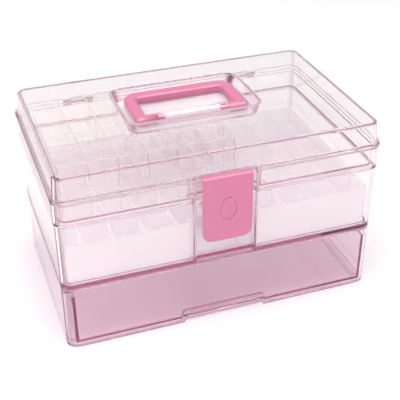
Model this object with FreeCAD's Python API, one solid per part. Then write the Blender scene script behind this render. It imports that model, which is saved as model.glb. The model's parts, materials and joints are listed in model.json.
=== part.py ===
import FreeCAD, Part
import os

os.makedirs("parts", exist_ok=True)

# Carry-handled sewing box: a drawer base, a clear tub with two layers of divided trays, and a
# hinged clear lid with a folding handle and a front rocker latch.
# Millimetres. The origin is the middle of the footprint on the ground, +X is to the user's
# right, +Y to the back (the lid's hinge side) and +Z up.

# ---- driving sizes: the box -------------------------------------------------------------
WIDTH = 330.0            # over the lid's flange
DEPTH = 206.0            # over the lid's flange
BASE_HEIGHT = 72.0       # drawer base
TUB_HEIGHT = 93.0        # tub, from its underside to its rim
LID_HEIGHT = 27.0        # lid, from the rim to its flat top
WALL = 2.5               # moulded wall of tub, lid, base and drawer
CORNER = 11.0            # plan radius of the walls' vertical corners
COLLAR_HEIGHT = 24.0     # thicker-looking band under the rim
COLLAR_STEP = 1.2        # how far the band stands out from the wall below
FLANGE_OUT = 1.0         # how far the lid's flange stands out from the band
FLANGE_HEIGHT = 4.5
FLANGE_ROUND = 1.0
COLLAR_ROUND = 0.9       # lower edge of the band
LEDGE = 3.0              # inner ledge that carries the upper tray
LID_INSET = 2.6          # lid wall, back from the flange's edge
LID_DRAFT = 2.2          # lid wall leans in by this much at the top
LID_CORNER_LESS = 1.0    # its corners are this much tighter at the top
TOP_ROUND = 3.0          # rounding of the lid's top edge
SEAM = 0.3               # gap between parts that rest on each other
SLIDE_GAP = 0.6          # side gap of parts that slide or lift out
BITE = 0.5               # how far a joined piece sinks into its neighbour
PAST = 1.0               # how far a cut runs past the face that it opens

# ---- latch ------------------------------------------------------------------------------
LATCH_WIDTH = 50.0
LATCH_DROP = 67.5        # lower end, under the tub's rim
LATCH_THICK = 3.4
LATCH_ROUND = 9.0        # its two lower corners
LATCH_BROW = 2.6         # rounding where its face turns over the lid
LATCH_EDGE = 0.8         # rounding of the face's rim
HOOK_THICK = 1.8
HOOK_REACH = 2.2         # grip on the lid's catch
RECESS_SIDE_GAP = 5.0    # recess in the tub's front, beyond the latch on each side
RECESS_DEPTH = 6.0       # recess, back from the tub's wall
PIVOT_DROP = 24.0        # latch pin, under the tub's rim
PIVOT_BACK = 4.0         # latch pin, behind the latch plate
LATCH_PIN_R = 1.5
PIN_SKIN = 0.6           # plastic left at the end of the pin's hole
PIN_END_GAP = 0.2
EAR_WIDTH = 4.0
EAR_INSET = 3.0
EAR_R = 3.2
MARK_W = 17.0            # oval thumb mark pressed into the latch
MARK_H = 25.0
MARK_LINE = 0.9
MARK_DEEP = 0.5
CATCH_THICK = 1.2
CATCH_IN = 6.0           # catch, in from the recess at each end

# ---- handle and its well in the lid ------------------------------------------------------
WELL_SIDE = 10.0         # well, beyond the handle at each end
WELL_FRONT = 16.0        # well, in front of the handle's pivot
WELL_BACK = 8.0          # well, behind the folded grip
WELL_CLEAR = 1.7         # lid's top, above the folded handle
WELL_LEAN = 3.0
WELL_R = 12.0            # plan radius of its corners at the top
WELL_R_LOW = 10.0        # and at its floor
WELL_FLOOR = 2.0
WELL_ROUND = 1.2         # rim of the well
HANDLE_W = 118.0
ARM_W = 12.0
GRIP_W = 13.0
HANDLE_T = 9.5
HANDLE_REACH = 58.0      # from the pivot to the grip's far edge
HANDLE_R = 15.0          # plan radius of the bow outside
HANDLE_R_IN = 5.0        # and inside
HANDLE_EDGE = 3.4
LEG_R = 5.5
LEG_IN = 9.4             # leg, from the arm to the barrel
PIVOT_Y = -4.0
STUB_R = 2.3
STUB_LEN = 8.5
BARREL_R = 6.0
END_GAP = 0.3

# ---- lid hinge ---------------------------------------------------------------------------
HINGE_INSET = 70.0       # each hinge's middle, in from the flange's end
HINGE_OUT = 1.2          # axis, behind the flange
KNUCKLE_R = 2.6
LID_KNUCKLE = 16.0
TUB_KNUCKLE = 8.0
KNUCKLE_GAP = 0.4
HINGE_PIN_R = 1.2
PIN_PLAY = 0.06          # radial gap where a pin is held or turns
SCOOP_R = 4.16           # hollow under each tub knuckle
SCOOP_OUT = 1.2
SCOOP_DROP = 6.76

# ---- drawer --------------------------------------------------------------------------------
FRONT_DEPTH = 8.8        # cap-shaped drawer front
FRONT_LIFT = 0.8         # its lower edge, above the ground
DRAWER_SIDE = 8.3        # drawer's side wall, in from the base's outer wall
DRAWER_FLOOR = 5.8       # underside of its floor, above the ground
DRAWER_HEADROOM = 10.1   # drawer's side walls, under the base's top
DRAWER_BACK_GAP = 5.3
DRAWER_ROUND = 4.0       # its two back corners
RAIL_W = 10.3
CROSS_RAIL_T = 4.0
GUIDE_T = 2.5
PULL_W = 88.0            # finger pull under the drawer front, at its foot
PULL_H = 8.0
PULL_SLOPE = 3.5         # how far its ends lean in
PULL_DEEP = 3.4
PULL_HOOK = 3.6          # how far the pull's ceiling rises behind the front
PULL_SKIN = 2.5
PULL_LIP = 1.0           # lip left in front of the undercut

# ---- upper tray ------------------------------------------------------------------------------
TRAY_WALL = 1.6
TRAY_FLOOR = 1.8
TRAY_GAP = 2.4
TRAY_R = 8.5
TRAY_TOP_GAP = 1.0       # tray rim, under the tub's rim
GRID_COLS = 6
GRID_ROWS = 5
CELL_W = 29.4
GRID_LEFT = 8.2          # trough between the tray's left wall and the grid
GRID_FRONT = 43.2        # trough between the tray's front wall and the grid
GRID_BACK = 1.0
DIVIDER = 1.2
PEAK_GAP = 1.0           # crowns of the dividers, under the well's floor
ARCH = 2.0               # rise of each divider's top over its cell

# ---- lower trays -----------------------------------------------------------------------------
LEFT_TRAY_W = 171.0
LOWER_H = 43.0
LOWER_R = 4.0            # plan radius of their corners
LOWER_GAP = 1.5          # gap to the tub's ledge, so that the trays lift past it
NARROW_COL = 16.5
LEFT_COLS = 5
RIGHT_COLS = 4
LOWER_ROWS = 6
LOWER_DROP = 2.0         # dividers, below the tray's rim

# ---- places that follow from these ---------------------------------------------------------
rim_z = BASE_HEIGHT + TUB_HEIGHT
top_z = rim_z + LID_HEIGHT
half_w = WIDTH / 2.0
half_d = DEPTH / 2.0
collar_w = half_w - FLANGE_OUT
collar_d = half_d - FLANGE_OUT
wall_w = collar_w - COLLAR_STEP
wall_d = collar_d - COLLAR_STEP
collar_z = rim_z - COLLAR_HEIGHT
ledge_z = collar_z + WALL
ledge_w = wall_w - WALL - LEDGE
ledge_d = wall_d - WALL - LEDGE
recess_w = LATCH_WIDTH / 2.0 + RECESS_SIDE_GAP
recess_y = -wall_d + RECESS_DEPTH
hinge_y = half_d + HINGE_OUT
latch_front = -(hinge_y + KNUCKLE_R)
latch_back = latch_front + LATCH_THICK
latch_bottom = rim_z - LATCH_DROP
pivot_z = rim_z - PIVOT_DROP
pivot_back_y = latch_back + PIVOT_BACK
well_w = HANDLE_W + 2.0 * WELL_SIDE
well_y0 = PIVOT_Y - WELL_FRONT
well_y1 = PIVOT_Y + HANDLE_REACH + WELL_BACK
well_floor_z = top_z - WELL_CLEAR - 2.0 * LEG_R - END_GAP
axis_z = well_floor_z + LEG_R + END_GAP
barrel_w = HANDLE_W / 2.0 - ARM_W - LEG_IN - END_GAP
drawer_wall_top = BASE_HEIGHT - DRAWER_HEADROOM


def plan(hx, hy, r, z, cx=0.0, cy=0.0):
    """Closed outline of a rounded rectangle at height z."""
    v = FreeCAD.Vector
    k = r * (1.0 - 0.5 ** 0.5)
    edges = []
    corners = [(1, 1), (-1, 1), (-1, -1), (1, -1)]
    starts = []
    for i, (sx, sy) in enumerate(corners):
        along_x = v(cx + sx * (hx - r), cy + sy * hy, z)
        along_y = v(cx + sx * hx, cy + sy * (hy - r), z)
        middle = v(cx + sx * (hx - k), cy + sy * (hy - k), z)
        first, last = (along_y, along_x) if i % 2 == 0 else (along_x, along_y)
        edges.append(Part.Arc(first, middle, last).toShape())
        starts.append((first, last))
    for i in range(4):
        edges.append(Part.LineSegment(starts[i][1], starts[(i + 1) % 4][0]).toShape())
    return Part.Wire(Part.__sortEdges__(edges))


def prism(hx, hy, r, z0, z1, cx=0.0, cy=0.0):
    """Upright block with a rounded-rectangle plan."""
    face = Part.Face(plan(hx, hy, r, z0, cx, cy))
    return face.extrude(FreeCAD.Vector(0, 0, z1 - z0))


def taper(low, high):
    """Solid between two outlines, each given as the arguments of plan."""
    return Part.makeLoft([plan(*low), plan(*high)], True, True)


def box(x0, x1, y0, y1, z0, z1):
    return Part.makeBox(x1 - x0, y1 - y0, z1 - z0, FreeCAD.Vector(x0, y0, z0))


def rod(r, x0, x1, y, z):
    """Cylinder along X."""
    return Part.makeCylinder(r, x1 - x0, FreeCAD.Vector(x0, y, z), FreeCAD.Vector(1, 0, 0))


def edges_at(shape, test):
    return [e for e in shape.Edges if test(e.BoundBox)]


def level(z, tol=0.01):
    """Test for an edge that lies flat at height z."""
    return lambda b: abs(b.ZMin - z) < tol and abs(b.ZMax - z) < tol


def save(name, shape):
    solids = shape.Solids
    out = solids[0] if len(solids) == 1 else Part.makeCompound(solids)
    out.exportStep("parts/" + name + ".step")
    print(name, len(solids), round(shape.Volume / 1000.0, 1), "cm3", shape.isValid())


# ---- hinge ----------------------------------------------------------------------------------
def hinge_spans():
    """For each hinge: (lid knuckle span, [tub knuckle spans], pin span) along X."""
    out = []
    for side in (-1, 1):
        mid = side * (half_w - HINGE_INSET)
        lid_span = (mid - LID_KNUCKLE / 2.0, mid + LID_KNUCKLE / 2.0)
        tubs = [(lid_span[0] - KNUCKLE_GAP - TUB_KNUCKLE, lid_span[0] - KNUCKLE_GAP),
                (lid_span[1] + KNUCKLE_GAP, lid_span[1] + KNUCKLE_GAP + TUB_KNUCKLE)]
        out.append((lid_span, tubs, (tubs[0][0], tubs[1][1])))
    return out


def hinge_bore(span):
    return rod(HINGE_PIN_R + PIN_PLAY, span[0] - PAST, span[1] + PAST, hinge_y, rim_z)


# ---- tub -------------------------------------------------------------------------------------
def make_tub():
    low = prism(wall_w, wall_d, CORNER, BASE_HEIGHT, collar_z + PAST)
    band = prism(collar_w, collar_d, CORNER + COLLAR_STEP, collar_z, rim_z)
    band = band.makeFillet(COLLAR_ROUND, edges_at(band, level(collar_z)))
    tub = low.fuse(band)
    tub = tub.cut(prism(wall_w - WALL, wall_d - WALL, CORNER - WALL, BASE_HEIGHT + WALL, collar_z))
    tub = tub.cut(prism(ledge_w, ledge_d, CORNER - WALL - LEDGE, collar_z - PAST, ledge_z + PAST))
    tub = tub.cut(prism(collar_w - WALL, collar_d - WALL, CORNER + COLLAR_STEP - WALL, ledge_z, rim_z + PAST))
    niche = box(-recess_w - WALL, recess_w + WALL, -wall_d + BITE, recess_y + WALL, BASE_HEIGHT, rim_z)
    tub = tub.fuse(niche)
    tub = tub.cut(box(-recess_w, recess_w, -half_d - PAST, recess_y, BASE_HEIGHT - PAST, rim_z + PAST))
    pin_end = recess_w + WALL - PIN_SKIN
    tub = tub.cut(rod(LATCH_PIN_R + PIN_PLAY, -pin_end, pin_end, pivot_back_y, pivot_z))
    for lid_span, tub_spans, pin_span in hinge_spans():
        for x0, x1 in tub_spans:
            arm = box(x0, x1, collar_d - BITE, hinge_y, rim_z - 2.0 * KNUCKLE_R, rim_z)
            scoop = rod(SCOOP_R, x0 - PAST, x1 + PAST, hinge_y + SCOOP_OUT, rim_z - SCOOP_DROP)
            gusset = arm.cut(scoop)
            tub = tub.fuse(gusset).fuse(rod(KNUCKLE_R, x0, x1, hinge_y, rim_z))
        tub = tub.cut(rod(KNUCKLE_R + KNUCKLE_GAP, lid_span[0] - KNUCKLE_GAP, lid_span[1] + KNUCKLE_GAP,
                          hinge_y, rim_z))
        tub = tub.cut(hinge_bore(pin_span))
    return tub.removeSplitter()


# ---- lid --------------------------------------------------------------------------------------
def make_lid():
    lid_w = half_w - LID_INSET
    lid_d = half_d - LID_INSET
    r0 = CORNER + COLLAR_STEP - LID_INSET + FLANGE_OUT
    r1 = r0 - LID_CORNER_LESS
    foot = rim_z + SEAM
    shell = taper((lid_w, lid_d, r0, foot), (lid_w - LID_DRAFT, lid_d - LID_DRAFT, r1, top_z))
    shell = shell.makeFillet(TOP_ROUND, edges_at(shell, level(top_z)))
    flange = prism(half_w, half_d, CORNER + COLLAR_STEP + FLANGE_OUT, foot, foot + FLANGE_HEIGHT)
    flange_edges = edges_at(flange, level(foot)) + edges_at(flange, level(foot + FLANGE_HEIGHT))
    flange = flange.makeFillet(FLANGE_ROUND, flange_edges)
    gap = box(-recess_w, recess_w, -half_d - PAST, -lid_d + BITE,
              foot - PAST, foot + FLANGE_HEIGHT + PAST)
    catch = box(-recess_w + CATCH_IN, recess_w - CATCH_IN, -half_d, -lid_d + BITE, foot, foot + CATCH_THICK)
    lid = shell.fuse(flange.cut(gap)).fuse(catch)
    hollow = taper((lid_w - WALL, lid_d - WALL, r0 - WALL, foot - PAST),
                   (lid_w - LID_DRAFT - WALL, lid_d - LID_DRAFT - WALL, r1 - WALL, top_z - WALL))
    lid = lid.cut(hollow)
    hx = well_w / 2.0
    hy = (well_y1 - well_y0) / 2.0
    well_y = (well_y1 + well_y0) / 2.0
    pan = taper((hx - WELL_LEAN + WALL, hy - WELL_LEAN + WALL, WELL_R,
                 well_floor_z - WELL_FLOOR, 0.0, well_y),
                (hx + WALL, hy + WALL, WELL_R + WALL, top_z - BITE, 0.0, well_y))
    well = taper((hx - WELL_LEAN, hy - WELL_LEAN, WELL_R_LOW, well_floor_z, 0.0, well_y),
                 (hx, hy, WELL_R, top_z, 0.0, well_y))
    lid = lid.fuse(pan).cut(well)
    rim_edges = edges_at(lid, lambda b: level(top_z)(b) and b.XMin > -hx - 1 and b.XMax < hx + 1
                         and b.YMin > well_y0 - 1 and b.YMax < well_y1 + 1)
    lid = lid.makeFillet(WELL_ROUND, rim_edges)
    barrel = rod(BARREL_R, -barrel_w, barrel_w, PIVOT_Y, axis_z)
    plinth = box(-barrel_w, barrel_w, PIVOT_Y - BARREL_R, PIVOT_Y + BARREL_R, well_floor_z - BITE, axis_z)
    lid = lid.fuse(barrel.fuse(plinth).removeSplitter())
    for side in (-1, 1):
        x0, x1 = sorted((side * (barrel_w + PAST), side * (barrel_w - STUB_LEN)))
        lid = lid.cut(rod(STUB_R + PIN_PLAY, x0, x1, PIVOT_Y, axis_z))
    for lid_span, tub_spans, pin_span in hinge_spans():
        arm = box(lid_span[0], lid_span[1], lid_d - BITE, hinge_y, foot, rim_z + KNUCKLE_R)
        lid = lid.fuse(arm).fuse(rod(KNUCKLE_R, lid_span[0], lid_span[1], hinge_y, rim_z))
        for x0, x1 in tub_spans:
            lid = lid.cut(box(x0 - KNUCKLE_GAP, x1 + KNUCKLE_GAP, lid_d, hinge_y + KNUCKLE_R + PAST,
                              foot - PAST, foot + FLANGE_HEIGHT + PAST))
        lid = lid.cut(hinge_bore(pin_span))
    return lid.removeSplitter()


# ---- handle -----------------------------------------------------------------------------------
def make_handle():
    half = HANDLE_W / 2.0
    z0 = axis_z - HANDLE_T / 2.0
    reach = PIVOT_Y + HANDLE_REACH
    mid = (reach + PIVOT_Y) / 2.0
    deep = HANDLE_REACH / 2.0
    outer = prism(half, deep + HANDLE_R, HANDLE_R, z0, z0 + HANDLE_T, 0.0, mid - HANDLE_R)
    inner = prism(half - ARM_W, deep + HANDLE_R - GRIP_W / 2.0, HANDLE_R_IN, z0 - PAST, z0 + HANDLE_T + PAST,
                  0.0, mid - HANDLE_R - GRIP_W / 2.0)
    front = box(-half - PAST, half + PAST, -half_d, PIVOT_Y, z0 - PAST, z0 + HANDLE_T + PAST)
    bow = outer.cut(inner).cut(front)
    rims = edges_at(bow, lambda b: (level(z0)(b) or level(z0 + HANDLE_T)(b)) and b.YMax > PIVOT_Y + 0.01)
    bow = bow.makeFillet(HANDLE_EDGE, rims)
    for side in (-1, 1):
        x0, x1 = sorted((side * half, side * (half - ARM_W - LEG_IN)))
        leg = rod(LEG_R, x0, x1, PIVOT_Y, axis_z)
        tip = edges_at(leg, lambda b: abs(b.XMin - side * half) < 0.01 and abs(b.XMax - side * half) < 0.01)
        leg = leg.makeFillet(HANDLE_EDGE, tip)
        s0, s1 = sorted((side * (half - ARM_W), side * (barrel_w + END_GAP - STUB_LEN)))
        bow = bow.fuse(leg).fuse(rod(STUB_R, s0, s1, PIVOT_Y, axis_z))
    return bow.removeSplitter()


# ---- latch ------------------------------------------------------------------------------------
def make_latch():
    half = LATCH_WIDTH / 2.0
    foot = rim_z + SEAM
    hook_z = foot + CATCH_THICK + SEAM
    top = hook_z + HOOK_THICK
    half_h = (top - latch_bottom) / 2.0
    plate = Part.Face(plan(half, half_h + LATCH_ROUND, LATCH_ROUND, 0.0, 0.0, LATCH_ROUND))
    plate = plate.extrude(FreeCAD.Vector(0, 0, LATCH_THICK))
    plate = plate.cut(box(-half - PAST, half + PAST, half_h, top, -PAST, LATCH_THICK + PAST))
    plate.rotate(FreeCAD.Vector(0, 0, 0), FreeCAD.Vector(1, 0, 0), 90)
    plate.translate(FreeCAD.Vector(0, latch_back, (top + latch_bottom) / 2.0))
    hook = box(-half, half, latch_back - BITE, -half_d + HOOK_REACH, hook_z, top)
    latch = plate.fuse(hook).removeSplitter()
    front_top = edges_at(latch, lambda b: level(top)(b) and b.YMax < latch_front + 0.01)
    latch = latch.makeFillet(LATCH_BROW, front_top)
    face_rim = edges_at(latch, lambda b: b.YMax < latch_front + 0.01 and b.ZMax < top - HOOK_THICK)
    latch = latch.makeFillet(LATCH_EDGE, face_rim)
    for side in (-1, 1):
        x0, x1 = sorted((side * (half - EAR_INSET), side * (half - EAR_INSET - EAR_WIDTH)))
        ear = box(x0, x1, latch_back - BITE, pivot_back_y, pivot_z - EAR_R, pivot_z + EAR_R)
        latch = latch.fuse(ear).fuse(rod(EAR_R, x0, x1, pivot_back_y, pivot_z))
    latch = latch.cut(rod(LATCH_PIN_R + PIN_PLAY, -half, half, pivot_back_y, pivot_z))
    mark_z = (top + latch_bottom) / 2.0
    ring = oval(MARK_W / 2.0, MARK_H / 2.0, mark_z)
    island = oval(MARK_W / 2.0 - MARK_LINE, MARK_H / 2.0 - MARK_LINE, mark_z)
    return latch.cut(ring.cut(island)).removeSplitter()


def oval(half_x, half_z, z):
    """Upright elliptical plug that sinks MARK_DEEP into the latch's face."""
    v = FreeCAD.Vector
    curve = Part.Ellipse(v(0, half_z, 0), v(half_x, 0, 0), v(0, 0, 0))
    plug = Part.Face(Part.Wire(curve.toShape())).extrude(v(0, 0, MARK_DEEP + PAST))
    plug.rotate(v(0, 0, 0), v(1, 0, 0), 90)
    plug.translate(v(0, latch_front + MARK_DEEP, z))
    return plug


# ---- base and drawer ---------------------------------------------------------------------------
def make_base():
    front = -wall_d + FRONT_DEPTH + SEAM
    top = BASE_HEIGHT - SEAM / 2.0
    base = prism(wall_w, wall_d, CORNER, 0.0, top)
    base = base.cut(prism(wall_w - WALL, wall_d - WALL, CORNER - WALL, WALL, top + PAST))
    base = base.cut(box(-half_w, half_w, -half_d, front, -PAST, top + PAST))
    inside = wall_w - WALL
    rail_in = inside - RAIL_W
    back = wall_d - WALL
    cross_z = drawer_wall_top + SLIDE_GAP
    base = base.fuse(box(-inside, inside, front, front + CROSS_RAIL_T, cross_z, top))
    for side in (-1, 1):
        x0, x1 = sorted((side * rail_in, side * inside))
        base = base.fuse(box(x0, x1, front, back - CORNER, WALL, DRAWER_FLOOR - SEAM))
        base = base.fuse(box(x0, x1, front, back - CORNER, cross_z, cross_z + GUIDE_T))
    return base.removeSplitter()


def make_drawer():
    y_front = -wall_d
    y_cap = y_front + FRONT_DEPTH
    cap_top = BASE_HEIGHT - SLIDE_GAP
    cap = prism(wall_w, wall_d, CORNER, FRONT_LIFT, cap_top)
    cap = cap.cut(box(-half_w, half_w, y_cap, half_d, -PAST, cap_top + PAST))
    hollow = prism(wall_w - WALL, wall_d - WALL, CORNER - WALL, FRONT_LIFT + WALL, cap_top - WALL)
    cap = cap.cut(hollow)
    out_w = wall_w - DRAWER_SIDE
    y_in = y_front + WALL
    y_back = wall_d - WALL - DRAWER_BACK_GAP
    floor_in = DRAWER_FLOOR + WALL
    tray = box(-out_w, out_w, y_in, y_back, DRAWER_FLOOR, drawer_wall_top)
    tray = tray.makeFillet(DRAWER_ROUND, edges_at(tray, lambda b: b.ZLength > WALL and b.YMin > 0))
    tray = tray.cut(box(-out_w + WALL, out_w - WALL, y_in - PAST, y_back - WALL,
                        floor_in, drawer_wall_top + PAST))
    drawer = cap.fuse(tray)
    grip = pull_block(-BITE, PULL_DEEP, 0.0)
    grip = grip.fuse(pull_hook())
    liner = pull_block(WALL - BITE, PULL_DEEP + PULL_SKIN, PULL_SKIN + PULL_HOOK)
    liner = liner.common(box(-half_w, half_w, y_front, y_back, FRONT_LIFT, cap_top))
    return drawer.fuse(liner).cut(grip).removeSplitter()


def pull_block(y0, y1, rise):
    """Upright wedge-ended block of the finger pull's outline, y0 to y1 behind the drawer's face."""
    v = FreeCAD.Vector
    foot = PULL_W / 2.0 + rise / 2.0
    head = foot - PULL_SLOPE
    top = PULL_H + rise
    y = -wall_d + y0
    pts = [v(-foot, y, -PAST), v(foot, y, -PAST), v(head, y, top), v(-head, y, top), v(-foot, y, -PAST)]
    block = Part.Face(Part.makePolygon(pts)).extrude(v(0, y1 - y0, 0))
    ends = edges_at(block, lambda b: level(top)(b) and b.XLength < 0.01)
    return block.makeFillet(PULL_SLOPE, ends)


def pull_hook():
    """Undercut behind the drawer's face, which the fingertips hook into."""
    v = FreeCAD.Vector
    half = PULL_W / 2.0 - 2.0 * PULL_SLOPE
    y = -wall_d
    pts = [v(-half, y + PULL_LIP, PULL_H - BITE), v(-half, y + PULL_DEEP, PULL_H - BITE),
           v(-half, y + PULL_DEEP, PULL_H + PULL_HOOK), v(-half, y + PULL_LIP, PULL_H - BITE)]
    return Part.Face(Part.makePolygon(pts)).extrude(v(2.0 * half, 0, 0))


# ---- trays ----------------------------------------------------------------------------------
def tray_pan(x0, x1, y0, y1, z0, z1, r, wall, floor):
    cx = (x0 + x1) / 2.0
    cy = (y0 + y1) / 2.0
    hx = (x1 - x0) / 2.0
    hy = (y1 - y0) / 2.0
    pan = prism(hx, hy, r, z0, z1, cx, cy)
    return pan.cut(prism(hx - wall, hy - wall, r - wall, z0 + floor, z1 + PAST, cx, cy))


def notch(pan, x0, x1, y0, y1, z0, z1, wall):
    """Steps the front wall of a pan back around the latch niche."""
    liner = box(x0 - wall, x1 + wall, y0, y1 + wall, z0, z1)
    inside = pan.common(liner)
    hull = prism_like(pan, z0, z1).common(liner)
    return pan.cut(inside).fuse(hull).cut(box(x0, x1, y0 - PAST, y1, z0 - PAST, z1 + PAST))


def prism_like(pan, z0, z1):
    """The pan's outer block, with its hollow filled."""
    bottom = [f for f in pan.Faces if abs(f.BoundBox.ZMax - z0) < 0.01 and abs(f.BoundBox.ZMin - z0) < 0.01]
    return Part.Face(bottom[0].OuterWire).extrude(FreeCAD.Vector(0, 0, z1 - z0))


upper_w = collar_w - WALL - TRAY_GAP
upper_d = collar_d - WALL - TRAY_GAP
upper_z = ledge_z + SEAM
upper_top = rim_z - TRAY_TOP_GAP
niche_w = recess_w + WALL + TRAY_GAP
niche_y = recess_y + WALL + TRAY_GAP


def make_upper_tray():
    pan = tray_pan(-upper_w, upper_w, -upper_d, upper_d, upper_z, upper_top, TRAY_R, TRAY_WALL, TRAY_FLOOR)
    return notch(pan, -niche_w, niche_w, -upper_d, niche_y, upper_z, upper_top, TRAY_WALL).removeSplitter()


def make_upper_grid():
    floor_z = upper_z + TRAY_FLOOR
    x_left = -upper_w + TRAY_WALL + GRID_LEFT
    y_back = upper_d - TRAY_WALL - GRID_BACK
    y_front = -upper_d + TRAY_WALL + GRID_FRONT
    cell_d = (y_back - y_front) / GRID_ROWS
    peak = well_floor_z - WELL_FLOOR - PEAK_GAP
    t = DIVIDER / 2.0
    walls = []
    for i in range(GRID_COLS + 1):
        x = x_left + i * CELL_W
        walls.append(box(x - t, x + t, y_front, y_back, floor_z, peak - ARCH))
    for j in range(GRID_ROWS + 1):
        y = y_back - t - j * (cell_d - DIVIDER / GRID_ROWS)
        for i in range(GRID_COLS):
            x0 = x_left + i * CELL_W + t
            walls.append(arched_wall(x0, x0 + CELL_W - DIVIDER, y, floor_z, peak))
    return Part.makeCompound(walls)


def arched_wall(x0, x1, y, z0, peak):
    """Divider across one cell, with a gently arched top."""
    v = FreeCAD.Vector
    a = v(x0, y - DIVIDER / 2.0, z0)
    b = v(x1, y - DIVIDER / 2.0, z0)
    c = v(x1, y - DIVIDER / 2.0, peak - ARCH)
    d = v(x0, y - DIVIDER / 2.0, peak - ARCH)
    crown = v((x0 + x1) / 2.0, y - DIVIDER / 2.0, peak)
    edges = [Part.LineSegment(a, b).toShape(), Part.LineSegment(b, c).toShape(),
             Part.Arc(c, crown, d).toShape(), Part.LineSegment(d, a).toShape()]
    return Part.Face(Part.Wire(edges)).extrude(v(0, DIVIDER, 0))


lower_z = BASE_HEIGHT + WALL + SEAM
lower_top = lower_z + LOWER_H
lower_w = ledge_w - LOWER_GAP
lower_d = ledge_d - LOWER_GAP / 2.0
split_x = -lower_w + LEFT_TRAY_W


def make_lower_tray(x0, x1):
    pan = tray_pan(x0, x1, -lower_d, lower_d, lower_z, lower_top, LOWER_R, TRAY_WALL, TRAY_FLOOR)
    n0 = max(x0 - PAST, -niche_w)
    n1 = min(x1 + PAST, niche_w)
    return notch(pan, n0, n1, -lower_d, niche_y, lower_z, lower_top, TRAY_WALL).removeSplitter()


def make_lower_grid(x0, x1, cols):
    """Dividers of a lower tray: one narrow column at its left, then equal ones."""
    left = x0 + TRAY_WALL
    right = x1 - TRAY_WALL
    y0 = -lower_d + TRAY_WALL
    y1 = lower_d - TRAY_WALL
    z0 = lower_z + TRAY_FLOOR
    z1 = lower_top - LOWER_DROP
    t = DIVIDER / 2.0
    pitch = (right - left - NARROW_COL) / cols
    lines = [left + NARROW_COL + i * pitch for i in range(cols)]
    row = (y1 - y0) / LOWER_ROWS
    keep_out = box(-niche_w - TRAY_WALL, niche_w + TRAY_WALL, -half_d, niche_y + TRAY_WALL, 0.0, rim_z)
    walls = []
    for x in lines:
        walls.append(box(x - t, x + t, y0, y1, z0, z1))
    stops = [left - t] + lines + [right + t]
    for j in range(1, LOWER_ROWS):
        y = y0 + j * row
        for a, b in zip(stops, stops[1:]):
            walls.append(box(a + t, b - t, y - t, y + t, z0, z1))
    return Part.makeCompound([s for w in walls for s in w.cut(keep_out).Solids])


# ---- pins -------------------------------------------------------------------------------------
def make_latch_pin():
    reach = recess_w + WALL - PIN_SKIN - PIN_END_GAP
    return rod(LATCH_PIN_R, -reach, reach, pivot_back_y, pivot_z)


save("tub", make_tub())
save("lid", make_lid())
save("handle", make_handle())
save("latch", make_latch())
save("latch_pin", make_latch_pin())
for side_name, (lid_span, tub_spans, pin_span) in zip(("left", "right"), hinge_spans()):
    save("hinge_pin_" + side_name, rod(HINGE_PIN_R, pin_span[0], pin_span[1], hinge_y, rim_z))
save("drawer_base", make_base())
save("drawer", make_drawer())
save("upper_tray", make_upper_tray())
save("upper_tray_dividers", make_upper_grid())
save("lower_tray_left", make_lower_tray(-lower_w, split_x))
save("lower_tray_left_dividers", make_lower_grid(-lower_w, split_x, LEFT_COLS))
save("lower_tray_right", make_lower_tray(split_x + LOWER_GAP, lower_w))
save("lower_tray_right_dividers", make_lower_grid(split_x + LOWER_GAP, lower_w, RIGHT_COLS))
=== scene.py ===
import json
import math

import bmesh
import bpy
from mathutils import Matrix, Vector


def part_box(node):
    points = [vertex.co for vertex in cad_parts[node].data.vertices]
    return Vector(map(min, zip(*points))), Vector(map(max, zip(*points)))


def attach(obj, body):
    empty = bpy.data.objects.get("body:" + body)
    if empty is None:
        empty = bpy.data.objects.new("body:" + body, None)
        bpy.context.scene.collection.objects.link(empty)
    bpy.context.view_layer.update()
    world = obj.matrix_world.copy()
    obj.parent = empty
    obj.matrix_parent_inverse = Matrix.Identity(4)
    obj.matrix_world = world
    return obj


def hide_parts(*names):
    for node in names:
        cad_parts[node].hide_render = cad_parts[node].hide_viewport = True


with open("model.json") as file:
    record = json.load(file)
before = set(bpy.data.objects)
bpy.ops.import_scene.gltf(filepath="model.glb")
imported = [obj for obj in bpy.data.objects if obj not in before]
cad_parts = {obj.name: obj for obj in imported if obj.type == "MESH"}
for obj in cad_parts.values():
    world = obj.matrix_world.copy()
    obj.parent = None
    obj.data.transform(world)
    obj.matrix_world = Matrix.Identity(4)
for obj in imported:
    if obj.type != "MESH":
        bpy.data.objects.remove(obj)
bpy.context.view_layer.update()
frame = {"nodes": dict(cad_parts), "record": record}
MM = 0.001
nodes = frame["nodes"]
scene = bpy.context.scene
MIX_A, MIX_B, MIX_RESULT = 6, 7, 2      # a Mix node's colour sockets
CLEAR_WAVE_MM = 38.0     # slow waviness of a polished mould
MILKY_WAVE_MM = 9.0
SATIN_GRAIN_MM = 1.6     # real grain is finer; this is as fine as shows
TONE_CLOUD_MM = 30.0
WIRE_LINE_MM = 0.25      # spacing of the die's lines on drawn wire

# ---- colours ------------------------------------------------------------------------------------


def srgb(hex_colour):
    """Linear RGBA of an sRGB hex colour."""
    values = [int(hex_colour[i:i + 2], 16) / 255.0 for i in (1, 3, 5)]
    linear = [v / 12.92 if v <= 0.04045 else ((v + 0.055) / 1.055) ** 2.4 for v in values]
    return (*linear, 1.0)


def add(tree, kind, links=None, **settings):
    """Adds a node. A setting named like an attribute is set on the node, any other on its input; links
    maps an input to the output socket that feeds it."""
    node = tree.nodes.new(kind)
    for key, value in settings.items():
        if hasattr(node, key):
            setattr(node, key, value)
        else:
            node.inputs[key.replace("_", " ")].default_value = value
    for key, socket in (links or {}).items():
        tree.links.new(socket, node.inputs[key])
    return node


def new_material(name):
    """An empty node material and its tree."""
    material = bpy.data.materials.new(name)
    material.use_nodes = True
    material.node_tree.nodes.clear()
    return material, material.node_tree


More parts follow.
